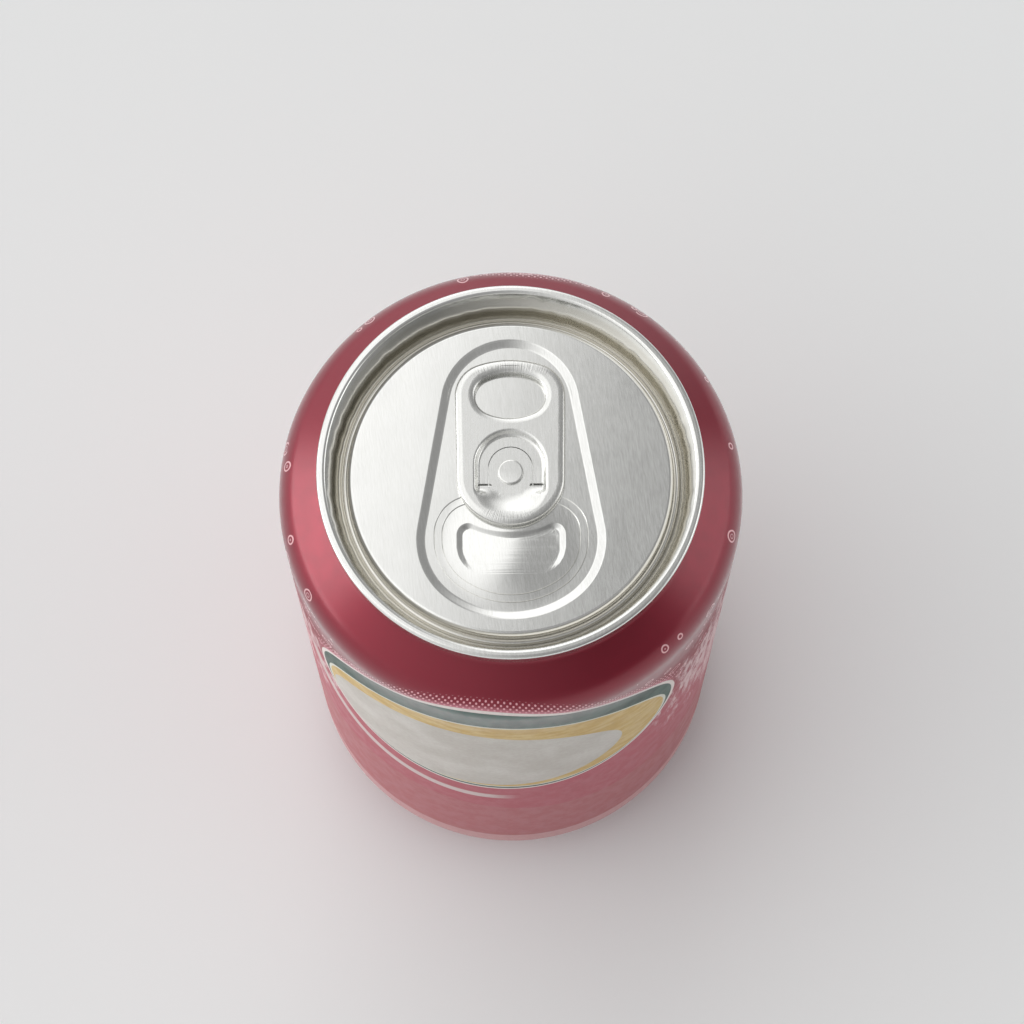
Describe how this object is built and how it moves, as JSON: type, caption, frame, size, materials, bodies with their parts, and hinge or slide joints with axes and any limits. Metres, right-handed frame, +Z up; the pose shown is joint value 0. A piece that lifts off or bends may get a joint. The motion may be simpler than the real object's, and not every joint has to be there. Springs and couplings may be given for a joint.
{
  "type": "soda can",
  "caption": "Shut aluminium drinks can with a rounded shoulder, rolled rim, stay-on tab and domed base; red with a bare oval panel.",
  "frame": {"origin": "centre of the flat standing ring, on the can's axis", "axes": "+Z up the can's axis to the lid; the tab's finger hole points to +Y, and the tear panel and the printed front face -Y"},
  "size_m": [0.066, 0.066, 0.1222],
  "materials": {
    "printed_side": "satin printed lacquer on aluminium",
    "end_metal": "bright rolled sheet with a fine straight grain",
    "tab_metal": "bright pressed sheet with soft rounded edges"
  },
  "bodies": {
    "root": {"can_body": "printed_side", "can_end": "end_metal", "tab": "tab_metal"}
  },
  "joints": []
}
